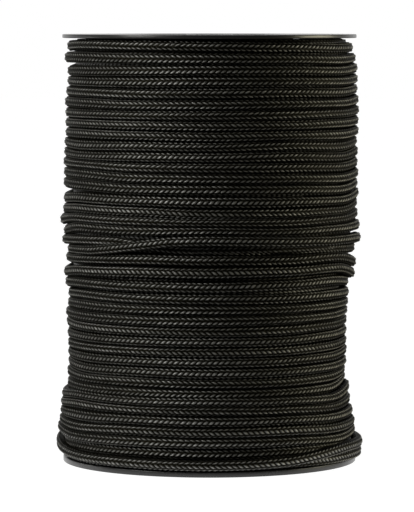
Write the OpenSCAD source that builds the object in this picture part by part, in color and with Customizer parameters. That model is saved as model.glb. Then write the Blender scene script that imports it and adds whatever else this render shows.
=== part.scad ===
// Flanged spool wound with braided cord.
// Origin: centre of the bottom flange's outer face. +Z runs up the spool's axis, -Y is the front.

/* [Cord] */
// Diameter of the cord
cord_d = 6; // [4:0.5:7]
// How much lower than wide a wound turn is, pressed between its neighbours
cord_squash = 0.7; // [0.7:0.1:1]
// Clearance between the cord and what it lies on
cord_clear = 0.3; // [0.3:0.1:0.6]

/* [Outer layer] */
// Winding width, from flange to flange
traverse = 250; // [200:1:300]
// Turns in the upper bank
upper_turns = 14; // [8:1:24]
// Turns in the crossing zone
crossing_turns = 9; // [9:1:12]
// Turns in the lower bank
lower_turns = 5; // [5:1:16]
// Turns beside the bottom flange
bottom_turns = 2; // [2:1:4]
// Spare height of each turn in the upper bank
upper_slack = 0.32; // [0:0.01:1]
// Spare height of each turn in the crossing zone
crossing_slack = 0.31; // [0.2:0.01:1]
// Spare height of each turn in the middle bank
middle_slack = 0.05; // [0:0.01:1]
// Spare height of each turn in the lower banks
lower_slack = 0.09; // [0:0.01:1]
// Least gap between the top flange and the first turn
least_top_gap = 0.6; // [0.4:0.1:3]
// Outside diameter of the upper bank
upper_d = 172.6; // [160:0.2:174]
// Outside diameter of the crossing zone
crossing_d = 173; // [160:0.2:174]
// Outside diameter of the middle bank
middle_d = 164.4; // [160:0.2:174]
// Outside diameter at the top of the lower bank
lower_top_d = 166.8; // [160:0.2:174]
// Outside diameter at the foot of the lower bank
lower_d = 173; // [160:0.2:174]
// Outside diameter beside the bottom flange
bottom_d = 170; // [160:0.2:171]
// Sideways lean of the upper bank, towards +X
upper_lean = 0.9; // [-1.5:0.1:1.5]
// Sideways lean of the middle and lower banks, towards +X
lower_lean = -1.4; // [-1.5:0.1:1.5]

/* [Spool] */
// Diameter of both flanges
flange_d = 175; // [174:1:220]
// Thickness of a flange's plate
flange_t = 2.2; // [1.8:0.1:4]
// Rounding of a flange's rim
rim_r = 0.8; // [0.4:0.1:0.8]
// Outside diameter of the barrel
barrel_d = 100; // [80:1:120]
// Wall of the barrel
barrel_wall = 3; // [2:0.5:5]

/* [Hub] */
// Bore for the arbor
arbor_d = 22; // [16:1:30]
// Wall of the arbor boss
boss_wall = 3; // [2:0.5:4]
// Length of the arbor boss
boss_l = 22; // [14:1:30]
// Depth of the dished web below the flange's face
dish_depth = 6; // [3:0.5:10]
// Wall of the spigot that plugs the barrel
spigot_wall = 2; // [1.5:0.5:3]
// Length of the spigot
spigot_l = 16; // [14:1:24]
// Play between the spigot and the barrel
spigot_play = 0.1; // [0.05:0.05:0.3]
// Ribs from the boss to the spigot
rib_count = 6; // [4:1:8]
// Thickness of a rib
rib_t = 1.8; // [1.2:0.1:3]
// Depth of the ribs' edges below the flange's face
rib_sink = 1; // [0.5:0.1:2]
// Diameter of the starting hole in the flange
start_hole_d = 8; // [7:0.5:10]

/* [Ends of the cord] */
// Height of the cord's inner end above the bottom flange
inner_end_h = 26; // [26:1:60]
// How far the inner end reaches into the barrel
inner_end_l = 14; // [8:1:20]
// Length of a heat-sealed tip
seal_l = 2.4; // [1.6:0.2:4]
// Rounding of a heat-sealed tip
seal_r = 1; // [0.5:0.1:1.5]

/* [Hidden] */
$fn = 96;

// The middle bank takes as many turns as the winding width has left for it
middle_turns = floor((traverse - least_top_gap - cord_clear - upper_turns * (cord_d + upper_slack)
    - crossing_turns * (cord_d + crossing_slack) - (lower_turns + bottom_turns) * (cord_d + lower_slack))
    / (cord_d + middle_slack));

// The outer layer's banks, top to bottom: turns, spare height, first and last outside diameter, lean
BANKS = [
    [upper_turns, upper_slack, upper_d, upper_d, upper_lean],
    [crossing_turns, crossing_slack, crossing_d, crossing_d, 0],
    [middle_turns, middle_slack, middle_d, middle_d, lower_lean],
    [lower_turns, lower_slack, lower_top_d, lower_d, lower_lean],
    [bottom_turns, lower_slack, bottom_d, bottom_d, 0]
];
function bank_height(b) = BANKS[b][0] * (cord_d + BANKS[b][1]);
function sum(v) = v * [for (i = v) 1];
// Number of the first turn of each bank, counted from 0, with the number past the last turn at the end
first_turn = [for (b = [0 : 5]) b == 0 ? 0 : sum([for (i = [0 : b - 1]) BANKS[i][0]])];
last_turn = first_turn[5] - 1;
top_gap = traverse - cord_clear - sum([for (b = [0 : 4]) bank_height(b)]);
spool_h = traverse + 2 * flange_t;
// Height of each bank's upper edge
bank_top = [for (b = [0 : 4]) spool_h - flange_t - top_gap
    - (b == 0 ? 0 : sum([for (i = [0 : b - 1]) bank_height(i)]))];

// Where turns leave their even place: turn, angle round it (back 0, left 90, front 180, right 270), half of
// the stretch that moves, rise, and lift away from the axis
crossing_first = first_turn[1];
lower_first = first_turn[3];
climb_depth = 5.6;
crossing_depth = 3.9;
crossing_lift = 4.6;
lower_rise = 0.34;
HUMPS = concat([
    [0, 0, 120, 0, -climb_depth],
    [crossing_first + 2, 180, 300, 0.5, 2],
    [crossing_first + 3, 180, 250, 1.1, 0],
    [crossing_first + 4, 110, 110, 1.3, 0],
    [crossing_first + 4, 250, 110, -3.3, 0],
    [crossing_first + 4, 225, 300, 0, -crossing_depth],
    [crossing_first + 5, 90, 70, 1.2, 0],
    [crossing_first + 5, 215, 140, 8, 0],
    [crossing_first + 5, 225, 280, 0, crossing_lift],
    [crossing_first + 6, 190, 130, 4.2, -1.6],
    [crossing_first + 7, 190, 150, 2.8, 0],
    [crossing_first + 8, 190, 150, 1.8, 0]
], [for (k = [lower_first + 1 : last_turn - 1]) [k, 180, 110, lower_rise * (k - lower_first), 0]]);

// The slack last turn and its tail, every 30 degrees from 150 before the back: rows above the bottom turn,
// and layers out from it
slack_from = -150;
slack_step = 30;
SLACK = [
    [0, 0], [0, 0.35], [0, 0.92], [0, 1], [0.1, 1.15], [0.5, 1.55], [1, 2.05], [1.25, 1.8], [1.15, 1.15],
    [0.65, 1], [0.5, 1], [0.3, 1], [0.4, 1], [1.1, 1], [1.08, 1], [1.3, 1], [1.7, 1.1], [2.2, 1.2],
    [1.4, 1.05], [0.35, 1], [0.2, 1], [0.2, 1]
];

// A turn steps down to the next between these shares of a turn
step_start = 0.62;
step_share = 0.62;
rings = 17;
sides = 6;
ring_angle = 360 / rings;
slack_first_ring = -7;
slack_last_ring = 20;
lay_gap = 0.5;
turn_h = cord_d - cord_squash;

// The cord's path: a is the angle run from the start of the outer layer, at the back
function bank_of(k) = max([for (b = [0 : 4]) k >= first_turn[b] ? b : 0]);
function turn_of(k) = max(0, min(last_turn, k));
function level(k) = let (t = turn_of(k), b = bank_of(t))
    bank_top[b] - (t - first_turn[b] + 0.5) * (cord_d + BANKS[b][1]);
function radius(k) = let (t = turn_of(k), b = bank_of(t), share = (t - first_turn[b] + 0.5) / BANKS[b][0])
    (BANKS[b][2] + (BANKS[b][3] - BANKS[b][2]) * share - cord_d) / 2;
function lean(k) = BANKS[bank_of(turn_of(k))][4];
function ease(s) = (1 - cos(180 * min(1, s))) / 2;
function bump(x) = abs(x) < 1 ? pow(cos(90 * x), 2) : 0;
function hump_sum(a) = [for (h = HUMPS) 1]
    * [for (h = HUMPS) bump((a - 360 * h[0] - h[1]) / h[2]) * [h[3], h[4]]];

// Radius, height and lean of the even turns at angle a
function turn_path(a) = let (
        p = a / 360 - step_start, k = floor(p), w = ease((p - k) / step_share), moved = hump_sum(a)
    ) [
        radius(k) * (1 - w) + radius(k + 1) * w + moved[1],
        level(k) * (1 - w) + level(k + 1) * w + moved[0],
        lean(k) * (1 - w) + lean(k + 1) * w
    ];

// Smooth curve through the slack turn's list (Catmull-Rom)
function slack_key(i) = SLACK[max(0, min(len(SLACK) - 1, i))];
function slack_value(u) = let (
        i = floor(u), t = u - i, p = [for (j = [-1 : 2]) slack_key(i + j)]
    ) 0.5 * (2 * p[1] + (p[2] - p[0]) * t + (2 * p[0] - 5 * p[1] + 4 * p[2] - p[3]) * t * t
        + (3 * p[1] - p[0] - 3 * p[2] + p[3]) * t * t * t);
function slack_path(a) = let (v = slack_value((a - 360 * (last_turn + 1) - slack_from) / slack_step)) [
        radius(last_turn) + v[1] * (cord_d + lay_gap),
        level(last_turn) + v[0] * (cord_d + lower_slack),
        0
    ];
slack_start = 360 * (last_turn + 1) + slack_first_ring * ring_angle;
slack_end = 360 * (last_turn + 1) + slack_last_ring * ring_angle;
function path(a) = a < slack_start ? turn_path(a) : slack_path(a);

// One ring of the cord at angle a, moved by s along the cord
function ring(a, s = 0) = let (p = path(a), f = a + 90) [
        for (i = [0 : sides - 1]) let (q = i * 360 / sides, r = p[0] + cord_d / 2 * cos(q)) [
            r * cos(f) + p[2] - s * sin(f),
            r * sin(f) + s * cos(f),
            p[1] + turn_h / sqrt(3) * sin(q)
        ]
    ];

// The least gap between a stretch of cord and its own next turns, on the corners of its rings and the
// middles of their sides
function marks(a) = let (r = ring(a)) concat(r, [for (i = [0 : sides - 1]) (r[i] + r[(i + 1) % sides]) / 2]);
function ring_gap(a, b) = let (p = marks(a), q = marks(b)) min([for (i = p) min([for (j = q) norm(i - j)])]);
function least_gap(from, to) = min([
        for (a = [from : ring_angle : to - 359]) min([
            for (turn = [1, 2]) if (a + 360 * turn < to + 1) ring_gap(a, a + 360 * turn)
        ])
    ]);

// An unbroken tube of cord from one angle to another, straight for one diameter at both ends
module wound_cord(from, to) {
    count = round((to - from) / ring_angle);
    all_rings = concat(
        [ring(from), ring(from, cord_d)],
        [for (i = [1 : count - 1]) ring(from + i * ring_angle)],
        [ring(to, -cord_d), ring(to)]
    );
    last = len(all_rings) - 1;
    polyhedron(
        points = [for (r = all_rings) each r],
        faces = concat(
            [for (j = [1 : sides - 2]) [0, j, j + 1]],
            [for (i = [0 : last - 1]) for (j = [0 : sides - 1]) let (n = (j + 1) % sides) each [
                [i * sides + j, (i + 1) * sides + j, (i + 1) * sides + n],
                [i * sides + j, (i + 1) * sides + n, i * sides + n]
            ]],
            [for (j = [1 : sides - 2]) [last * sides, last * sides + j + 1, last * sides + j]]
        ),
        convexity = 20
    );
}

module bank_cord(first, past) wound_cord(360 * first, past > last_turn ? slack_start : 360 * past);

// Profile of a disc with a rounded edge, from the axis out
module rounded_profile(r, t, edge) {
    square([r - edge, t]);
    translate([0, edge]) square([r, t - 2 * edge]);
    for (y = [edge, t - edge]) translate([r - edge, y]) circle(edge);
}

spigot_r = barrel_d / 2 - barrel_wall - spigot_play;
dish_r = spigot_r - spigot_wall;
boss_r = arbor_d / 2 + boss_wall;
start_hole_r = barrel_d / 2 + start_hole_d / 2 + 2;

// A moulded flange, its outer face down on z = 0
module flange() {
    difference() {
        rotate_extrude() difference() {
            union() {
                rounded_profile(flange_d / 2, flange_t, rim_r);
                translate([dish_r, 0]) square([spigot_wall, flange_t + spigot_l]);
                square([dish_r, dish_depth + flange_t]);
                square([boss_r, boss_l]);
            }
            translate([-1, -1]) square([arbor_d / 2 + 1, boss_l + 2]);
            translate([boss_r, -1]) square([dish_r - boss_r, dish_depth + 1]);
        }
        rotate(90) translate([start_hole_r, 0, -1]) cylinder(d = start_hole_d, h = flange_t + 2);
    }
    for (i = [0 : rib_count - 1]) rotate(i * 360 / rib_count)
        translate([boss_r - 0.5, -rib_t / 2, rib_sink])
            cube([dish_r - boss_r + 1, rib_t, dish_depth - rib_sink + 0.5]);
}

module bottom_flange() color("#1b1b1c") flange();

module top_flange() color("#1b1b1c") translate([0, 0, spool_h]) mirror([0, 0, 1]) flange();

module barrel() color("#8d6b48") difference() {
    translate([0, 0, flange_t]) cylinder(d = barrel_d, h = traverse);
    translate([0, 0, flange_t - 1]) cylinder(d = barrel_d - 2 * barrel_wall, h = traverse + 2);
    inner_end_place() cylinder(d = cord_d + 2 * cord_clear, h = barrel_d);
}

// Radius that stays clear below turns of centre radius r, also between their rings
function under(r) = (r - cord_d / 2) * cos(ring_angle / 2) - cord_clear;
core_bore_r = barrel_d / 2 + cord_clear;
core_top = spool_h - flange_t - cord_clear;
core_foot = flange_t + cord_clear;

// The hidden layers: one plain band under each bank, with the start of the outer layer let in at the top
module rope_inner_layers() color("#161616") difference() {
    union() for (b = [0 : 4]) {
        top = b == 0 ? core_top : bank_top[b];
        foot = b == 4 ? core_foot : bank_top[b + 1];
        translate([BANKS[b][4], 0, foot]) cylinder(
            r1 = under((BANKS[b][3] - cord_d) / 2), r2 = under((BANKS[b][2] - cord_d) / 2), h = top - foot);
    }
    cylinder(r = core_bore_r, h = spool_h);
    translate([0, 0, level(crossing_first + 6)]) difference() {
        cylinder(r = crossing_d, h = level(crossing_first + 3) - level(crossing_first + 6));
        cylinder(r = under((crossing_d - cord_d) / 2 - crossing_depth), h = spool_h);
    }
    rotate(90) translate([0, 0, level(0) - cord_d / 2 - cord_clear]) rotate_extrude(angle = 110)
        translate([under((upper_d - cord_d) / 2 - climb_depth) - upper_lean, 0]) square([flange_d, spool_h]);
}

module rope_upper_turns() color("#202020") bank_cord(0, first_turn[1]);

module rope_crossing_turns() color("#2a2a2a") bank_cord(first_turn[1], first_turn[2]);

module rope_middle_turns() color("#202020") bank_cord(first_turn[2], first_turn[3]);

module rope_lower_turns() color("#2a2a2a") bank_cord(first_turn[3], first_turn[5]);

module rope_slack_turn() color("#333333") wound_cord(slack_start, slack_end);

// A heat-sealed tip, its flat joint on z = 0
module seal(r) rotate_extrude() {
    square([r - seal_r, seal_l]);
    square([r, seal_l - seal_r]);
    translate([r - seal_r, seal_l - seal_r]) circle(seal_r);
}

module rope_tail_seal() color("#0c0c0c") {
    p = path(slack_end);
    translate([0, 0, p[1]]) rotate(slack_end + 90) translate([p[0], 0, 0]) rotate([-90, 0, 0]) seal(turn_h / 2);
}

// The cord's start runs in through the barrel's wall, square to it
inner_end_r = barrel_d / 2 - barrel_wall - inner_end_l;
inner_end_gap = 0.1;
module inner_end_place() translate([0, 0, flange_t + inner_end_h]) rotate([-90, 0, 0]) children();

module rope_inner_end() color("#202020") inner_end_place() translate([0, 0, inner_end_r])
    cylinder(d = cord_d, h = core_bore_r - inner_end_gap - inner_end_r);

module rope_start_seal() color("#0c0c0c") inner_end_place() translate([0, 0, inner_end_r]) mirror([0, 0, 1])
    seal(cord_d / 2);

echo(
    spool_height = spool_h,
    least_gap_upper = least_gap(0, 360 * first_turn[1]),
    least_gap_crossing = least_gap(360 * first_turn[1], 360 * first_turn[2]),
    least_gap_middle = least_gap(360 * first_turn[2], 360 * first_turn[3]),
    least_gap_lower = least_gap(360 * first_turn[3], slack_start),
    least_gap_slack = least_gap(slack_start, slack_end)
);
top_flange();
bottom_flange();
barrel();
rope_inner_layers();
rope_upper_turns();
rope_crossing_turns();
rope_middle_turns();
rope_lower_turns();
rope_slack_turn();
rope_tail_seal();
rope_inner_end();
rope_start_seal();
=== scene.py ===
"""Spool of braided cord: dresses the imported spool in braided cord, moulded flanges and a studio."""

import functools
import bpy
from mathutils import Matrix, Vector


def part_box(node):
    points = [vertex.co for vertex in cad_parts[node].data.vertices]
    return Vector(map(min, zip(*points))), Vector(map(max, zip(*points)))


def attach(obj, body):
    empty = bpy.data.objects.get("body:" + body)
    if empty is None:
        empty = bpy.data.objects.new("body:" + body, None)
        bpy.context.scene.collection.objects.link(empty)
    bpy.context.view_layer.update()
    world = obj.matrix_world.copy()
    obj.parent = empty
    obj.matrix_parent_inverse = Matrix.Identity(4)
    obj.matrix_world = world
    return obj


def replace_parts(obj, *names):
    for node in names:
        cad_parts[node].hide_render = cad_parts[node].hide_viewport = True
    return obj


bl_info = {
    "name": "Cord Spool",
    "version": (1, 0, 0),
    "blender": (4, 5, 0),
    "location": "View3D > Sidebar > Cord Spool",
    "description": "Braided cord wound on a moulded spool, in a plain studio",
    "category": "Object",
}

import bmesh
import bpy
import numpy as np
from bpy.props import FloatProperty, FloatVectorProperty, IntProperty, PointerProperty
from bpy.types import Operator, Panel, PropertyGroup

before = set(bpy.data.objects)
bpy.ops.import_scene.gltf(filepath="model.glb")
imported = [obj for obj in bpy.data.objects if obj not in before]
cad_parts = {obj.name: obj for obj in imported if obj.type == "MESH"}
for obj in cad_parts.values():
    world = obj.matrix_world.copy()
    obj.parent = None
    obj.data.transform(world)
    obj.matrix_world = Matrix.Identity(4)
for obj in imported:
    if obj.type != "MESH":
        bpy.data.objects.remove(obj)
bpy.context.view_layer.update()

MM = 0.001
SEED = 11
BODY = "root"

# -------- The spool's own sizes, in millimetres, as in the part's source ----------------------
CORD_D = 6.0
CORD_CLEAR = 0.3
LAY_GAP = 0.5
LOWER_SLACK = 0.09
TRAVERSE = 250.0
FLANGE_D = 175.0
FLANGE_T = 2.2
SPOOL_H = TRAVERSE + 2 * FLANGE_T
BARREL_D = 100.0
BARREL_WALL = 3.0
BORE_R = 11.0
BOSS_WALL = 3.0
BOSS_L = 22.0
DISH_DEPTH = 6.0
SPIGOT_PLAY = 0.1
SPIGOT_WALL = 2.0
SPIGOT_L = 16.0
RIBS = 6
RIB_T = 1.8
RIB_SINK = 1.0
START_HOLE_R = 4.0
START_HOLE_AT = 56.0

# The outer layer's banks, top to bottom: turns, spare height, first and last outside diameter,
# lean to +X
BANKS = np.array([
    (14, 0.32, 172.6, 172.6, 0.9),
    (9, 0.31, 173.0, 173.0, 0.0),
    (10, 0.05, 164.4, 164.4, -1.4),
    (5, LOWER_SLACK, 166.8, 173.0, -1.4),
    (2, LOWER_SLACK, 170.0, 170.0, 0.0),
])
BANK_FIRST = np.concatenate([[0], np.cumsum(BANKS[:, 0])]).astype(int)
LAST_TURN = BANK_FIRST[-1] - 1
TURNS_END = 360 * (LAST_TURN + 1)
BANK_HEIGHT = BANKS[:, 0] * (CORD_D + BANKS[:, 1])
TOP_GAP = TRAVERSE - CORD_CLEAR - BANK_HEIGHT.sum()
BANK_TOP = SPOOL_H - FLANGE_T - TOP_GAP - np.concatenate([[0], np.cumsum(BANK_HEIGHT)[:-1]])

# Where in a turn, counted from the back, its step down to the next begins, and how much of a
# turn the step takes
STEP_START = 0.62
STEP_SHARE = 0.62

# Where turns leave their even place: turn, angle round it (back 0, left 90, front 180, right
# 270), half of the stretch that moves, rise, and lift away from the axis
CROSSING = BANK_FIRST[1]
LOWER = BANK_FIRST[3]
HUMPS = [
    (0, 0, 120, 0, -5.6),
    (CROSSING + 2, 180, 300, 0.5, 2),
    (CROSSING + 3, 180, 250, 1.1, 0),
    (CROSSING + 4, 110, 110, 1.3, 0),
    (CROSSING + 4, 250, 110, -3.3, 0),
    (CROSSING + 5, 90, 70, 1.2, 0),
    (CROSSING + 5, 215, 140, 8, 0),
    (CROSSING + 6, 190, 130, 4.2, -1.6),
    (CROSSING + 7, 190, 150, 2.8, 0),
    (CROSSING + 8, 190, 150, 1.8, 0),
] + [(k, 180, 110, 0.34 * (k - LOWER), 0) for k in range(LOWER + 1, LAST_TURN)]

# How far each turn wanders up or down from that, a step of degrees apart from its left to its
# right, and the spread of its waver over the back
WANDER_STEP = 30
WANDER_AT = np.arange(90, 271, WANDER_STEP)
WANDER_SLOTS = 360 // WANDER_STEP
WAVER = 0.25
WANDER = np.array([
    (-0.1, 1, 0.5, 0, -0.5, -1.2, -0.5), (-0.6, -0.4, -0.8, -0.8, -0.9, -1.6, -0.4),
    (-2.4, -1.9, -1.5, -1, -1.1, -1.9, 0.3), (-1.7, -1.8, -1.7, -1.3, -1.3, -1.6, -0.2),
    (-1.6, -1.7, -2.2, -1.9, -1.4, -1.7, 0.6), (-1.6, -1.7, -2.3, -2.1, -1.6, -1.8, 0.3),
    (-1.7, -1.7, -1.8, -1.7, -1.5, -1.1, 0.5), (-1.3, -1.1, -1.2, -1.4, -1.2, -0.5, 0.7),
    (-0.9, -0.5, -0.8, -1.3, -0.8, -1.1, 1), (0.1, -1.1, -0.5, -0.9, -0.2, -1.5, 1.3),
    (0.5, -0.7, -0.4, -0.4, -0.2, -1.6, 1.6), (0.9, 0.8, -0.2, -0.3, -0.4, -1, 1.2),
    (1, 1.2, 0, 0, -0.3, -1.3, 1.3), (1.4, 1, 0, 0.1, -0.4, -1.6, 1.5),
    (-2, -0.1, -0.4, -0.8, -1.2, -1.5, 2.2), (-2, -0.3, -0.3, -1.4, -1.5, -1.2, 2.6),
    (-2.5, 0.6, 0.2, -0.4, -0.9, -0.1, 2.3), (-3.6, 0.8, 0.2, 0.9, -0.2, 0.1, 0.9),
    (-0.9, -0.6, -1.6, -2.6, -2, -1.6, -0.3), (-0.7, -1.9, 0.7, 2.1, -0.4, -0.9, 0.1),
    (0.4, 0.3, 0.2, -0.9, -1.3, 0.2, -3), (-2.6, -0.2, 0.2, -0.2, 0.2, 1.2, -3.5),
    (-1.8, -0.7, -1.1, -1.3, -0.6, 0.4, -1.4), (-1.9, -0.2, -0.5, -0.5, -0.8, -0.6, -0.9),
    (-1.6, -0.8, -0.7, -0.5, -0.9, -1, -0.4), (-1.2, -1.2, -1, -0.8, -0.6, -0.6, 0.9),
    (-0.2, -1.2, -1.1, -1.1, -0.9, -0.3, 1.1), (-1.5, -1.2, -1, -0.9, -1.1, -0.2, 0.8),
    (-1.3, -0.9, -0.7, -0.6, -0.9, -0.5, 0.8), (-0.6, -0.8, -0.5, -0.7, -0.9, -0.7, 1.7),
    (0.2, -1.1, -0.4, -0.8, -0.9, -0.7, 0.5), (0.1, -1, -0.6, -0.9, -1, -0.8, 1.6),
    (-0.9, -0.9, -0.7, -0.8, -1, -1.1, 3.9), (-1.7, 0.9, 0.7, 1, 0.3, -0.8, 3.8),
    (-0.5, 2.2, 1.8, 1.9, 1.2, -0.1, 2.3), (0.6, 1.1, 1.8, 1.2, 1.2, 0.1, 1),
    (1.7, 0.2, 1.4, 0.8, 1, -0.3, 0.8), (3.3, 0.6, 0.8, 0.6, 0.4, -0.7, 2.3),
    (0.5, 0.8, 0.4, -0.2, 0.2, 0.2, -0.5), (-0.4, 1.2, 1.7, 0.7, 0.6, 0, -0.4),
])

# How far each turn stands out past its bank's own radius, at its left and its right
REACH_STEP = 90
REACH = np.array([
    (-0.3, -2), (0.6, -0.3), (-1.1, 0.8), (-1.1, 1), (-0.3, 0.8), (0.5, 1.5), (0.2, 1.8),
    (0.2, 1.5), (0.2, 1.6), (0.8, 0.6), (1, 1.2), (1.4, 1), (1.2, 1.5), (1.4, 1.1), (0.2, 2.4),
    (0.6, 1.4), (0.7, 0.2), (0.3, 3), (1, -0.1), (-2.9, 3.2), (-0.9, 1.5), (0.2, 0.2),
    (-0.6, -3.1), (0.5, 2.4), (0.8, 2), (2, 1.6), (1.5, 1.1), (1, 1), (0.8, 1), (0.7, 1.2),
    (0.5, 1), (1.2, 0.2), (1.1, 0), (2.9, 1.2), (3, 1.1), (2.6, 2), (2.6, 2.6), (3, 2.2),
    (1.5, 0.2), (0.5, -0.3),
])

# The two turns that cross wander more sharply: angles, offsets up, and offsets out. They keep
# to these alone for so many degrees each side of the front, and fade out over some more.
CROSSERS = {
    CROSSING + 4: (
        (90, 106, 128, 139, 148, 157, 165, 173, 180, 195, 212, 232, 245, 270, 330),
        (-2.6, -1.8, -0.6, -0.3, -1.2, -2.8, -3.6, -3.6, -3.3, -2.9, -1.9, -1.6, -1.8, -2.7, -1),
        (1.3, 0.7, -0.9, -2, -2.9, -3.8, -4.7, -5.4, -5.9, -6.2, -6.1, -4.7, -2.4, 0.2, 0)),
    CROSSING + 5: (
        (30, 90, 128, 139, 148, 157, 165, 173, 180, 195, 212, 232, 270, 330),
        (-1, -2.1, -1.7, -0.7, 0.3, 1.4, 2.3, 2.2, 1.9, 0.7, -0.5, -0.9, 1.3, 0),
        (-1, -2.5, 1.6, 2.8, 3.4, 3.8, 4, 4.1, 4.2, 4.4, 4.5, 4.5, 3.6, 1.5)),
}
CROSSER_HALF = 120
CROSSER_FADE = 40

# The slack last turn and its tail, a step of degrees apart: rows above the bottom turn, and
# layers out from it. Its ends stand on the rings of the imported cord, 17 to a turn.
SLACK_FROM = -150
SLACK_STEP = 30
SLACK = np.array([
    (0, 0), (0, 0.35), (0, 0.92), (0, 1), (0.1, 1.15), (0.5, 1.55), (1.2, 2), (1.5, 1.75),
    (0.85, 1), (0.35, 0.92), (0.3, 0.95), (0.25, 1), (0.4, 1), (1.05, 1), (1, 1), (1.15, 1),
    (1.4, 1.1), (1.8, 1.2), (1.3, 1.05), (0.35, 1), (0.2, 1), (0.2, 1),
])
CAD_RING = 360 / 17
SLACK_START = TURNS_END - 7 * CAD_RING
SLACK_END = TURNS_END + 20 * CAD_RING

# The layer beneath: how far in it lies, and where, over how many degrees each way and how far
# it swells out between the turns that cross
UNDER_DEPTH = 5.6
PARTED_AT = 360 * (CROSSING + 4) + 270
PARTED_HALF = 60
PARTED_RISE = 3.5

# How far a cord bulges past its own radius, and how square its section is, 1 being round
BULGE = 0.35
SQUARE = 0.75

# The least and the most half height of a cord pressed between turns, how far it sinks into
# them, and how far out of line two turns still press
PRESSED_HALF = (2.4, 3.45)
PRESSED_IN = 0.05
PRESSED_RANGE = 4.0

# The braid: eight lengthwise wales, leaning by turns one way and the other; the distance from
# one yarn to the next along a wale; how uneven the yarns are; and how many points go to a
# wale's width and how many rings to a pick
WALES = 8
PICK = 3.16
UNEVEN = 0.12
FINE = {"per_wale": 3, "per_pick": 4}
COARSE = {"per_wale": 2, "per_pick": 2}

# How the cord turns about its own line: amplitude in radians, millimetres to a radian, phase
TWISTS = ((0.9, 830, 0.7), (0.5, 311, 2.1), (1.3, 2350, 4.0))

# Height of the raised lip on the lower flange's edge
LIP = 1.0

# The brightness that reflections see, the backdrop being 1: the studio's front, the floor
# there, and the floor right beside the spool. Between which heights of Y the surround, on a
# unit sphere, and the floor, in metres, brighten, and between which distances from the spool's
# axis the near floor gives way.
DIM_FRONT = 0.03
DIM_FLOOR = 0.045
NEAR_FLOOR = 1.0
SURROUND_FADE = (0.5, 0.92)
FLOOR_FADE = (0.6, 1.8)
NEAR_FADE = (0.1, 0.13)

# The camera's lens in millimetres, place in metres and tilt in degrees
CAMERA_LENS = 250.2
CAMERA_AT = (-0.00143, -2.122, 0.2658)
CAMERA_TILT = 3.8755

# The softboxes: distance in metres; azimuth from the front towards +X and elevation in
# degrees, width and height in metres
LAMP_DISTANCE = 1.4
LAMPS = {
    "left": (-57, 24, 0.6, 0.7),
    "right": (90, 6, 0.8, 0.35),
    "side": (-106, -3, 0.6, 0.1),
}


# -------- The cord's route --------------------------------------------------------------------
def eased(share):
    """A half cosine from 0 to 1 as share goes from 0 to 1, and flat past both ends."""
    return (1 - np.cos(np.pi * np.clip(share, 0, 1))) / 2


def swell(x):
    """Cosine squared, 1 at x = 0 and 0 from |x| = 1 on."""
    return np.where(np.abs(x) < 1, np.cos(np.pi / 2 * np.clip(x, -1, 1)) ** 2, 0.0)


def unit(v):
    """Vectors divided by their own length."""
    return v / np.maximum(np.linalg.norm(v, axis=-1, keepdims=True), 1e-9)


def turn_places():
    """Centre radius, height and lean of every even turn: equal steps down each bank from its
    upper edge."""
    turn = np.arange(LAST_TURN + 1)
    bank = np.searchsorted(BANK_FIRST, turn, side="right") - 1
    place = turn - BANK_FIRST[bank] + 0.5
    height = BANK_TOP[bank] - place * (CORD_D + BANKS[bank, 1])
    share = place / BANKS[bank, 0]
    radius = (BANKS[bank, 2] * (1 - share) + BANKS[bank, 3] * share - CORD_D) / 2
    return radius, height, BANKS[bank, 4]


def stepped(values, angle, step):
    """Values a step of degrees apart, each joined to the next by a half cosine."""
    place = angle / step
    slot = np.clip(np.floor(place).astype(int), 0, len(values) - 2)
    share = eased(place - slot)
    return values[slot] * (1 - share) + values[slot + 1] * share


def reach(angle):
    """How far the turns stand out: their own reach at their sides, and the mean of two sides
    between them."""
    sides = np.concatenate([REACH.ravel(), [0]])
    between = (np.concatenate([[0], sides[:-1]]) + sides) / 2
    return stepped(np.stack([between, sides], 1).ravel(), angle, REACH_STEP)


def wander(angle):
    """How far the turns stray up and out: up by their table over the front and by small seeded
    values over the back, out by their reach. The two crossing turns follow their own finer
    tables, which fade by cosine squared."""
    rng = np.random.default_rng(SEED)
    rise = rng.normal(0, WAVER, (LAST_TURN + 2, WANDER_SLOTS)).clip(-2 * WAVER, 2 * WAVER)
    over_front = np.isin(np.arange(WANDER_SLOTS) * WANDER_STEP, WANDER_AT)
    rise[:LAST_TURN + 1, over_front] = WANDER
    up, out = stepped(rise.ravel(), angle, WANDER_STEP), reach(angle)
    for turn, (at, own_up, own_out) in CROSSERS.items():
        place = angle - 360 * turn
        own = swell(np.clip(np.abs(place - 180) - CROSSER_HALF, 0, None) / CROSSER_FADE)
        up = up * (1 - own) + np.interp(place, at, own_up) * own
        out = out * (1 - own) + np.interp(place, at, own_out) * own
    return up, out


def even_turns(angle):
    """Radius, height and lean of the even turns at an angle, each stepping down to the next
    over the back by a half cosine."""
    place = angle / 360 - STEP_START
    turn = np.floor(place).astype(int)
    share = eased((place - turn) / STEP_SHARE)
    here, after = np.clip(turn, 0, LAST_TURN), np.clip(turn + 1, 0, LAST_TURN)
    return (v[here] * (1 - share) + v[after] * share for v in turn_places())


def turn_route(angle):
    """Radius, height and lean at an angle: the even turns, plus the cosine-squared humps and
    the wander."""
    r, z, x = even_turns(angle)
    for k, at, half, rise, lift in HUMPS:
        moved = swell((angle - 360 * k - at) / half)
        r, z = r + lift * moved, z + rise * moved
    up, out = wander(angle)
    return r + out, z + up, x


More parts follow.
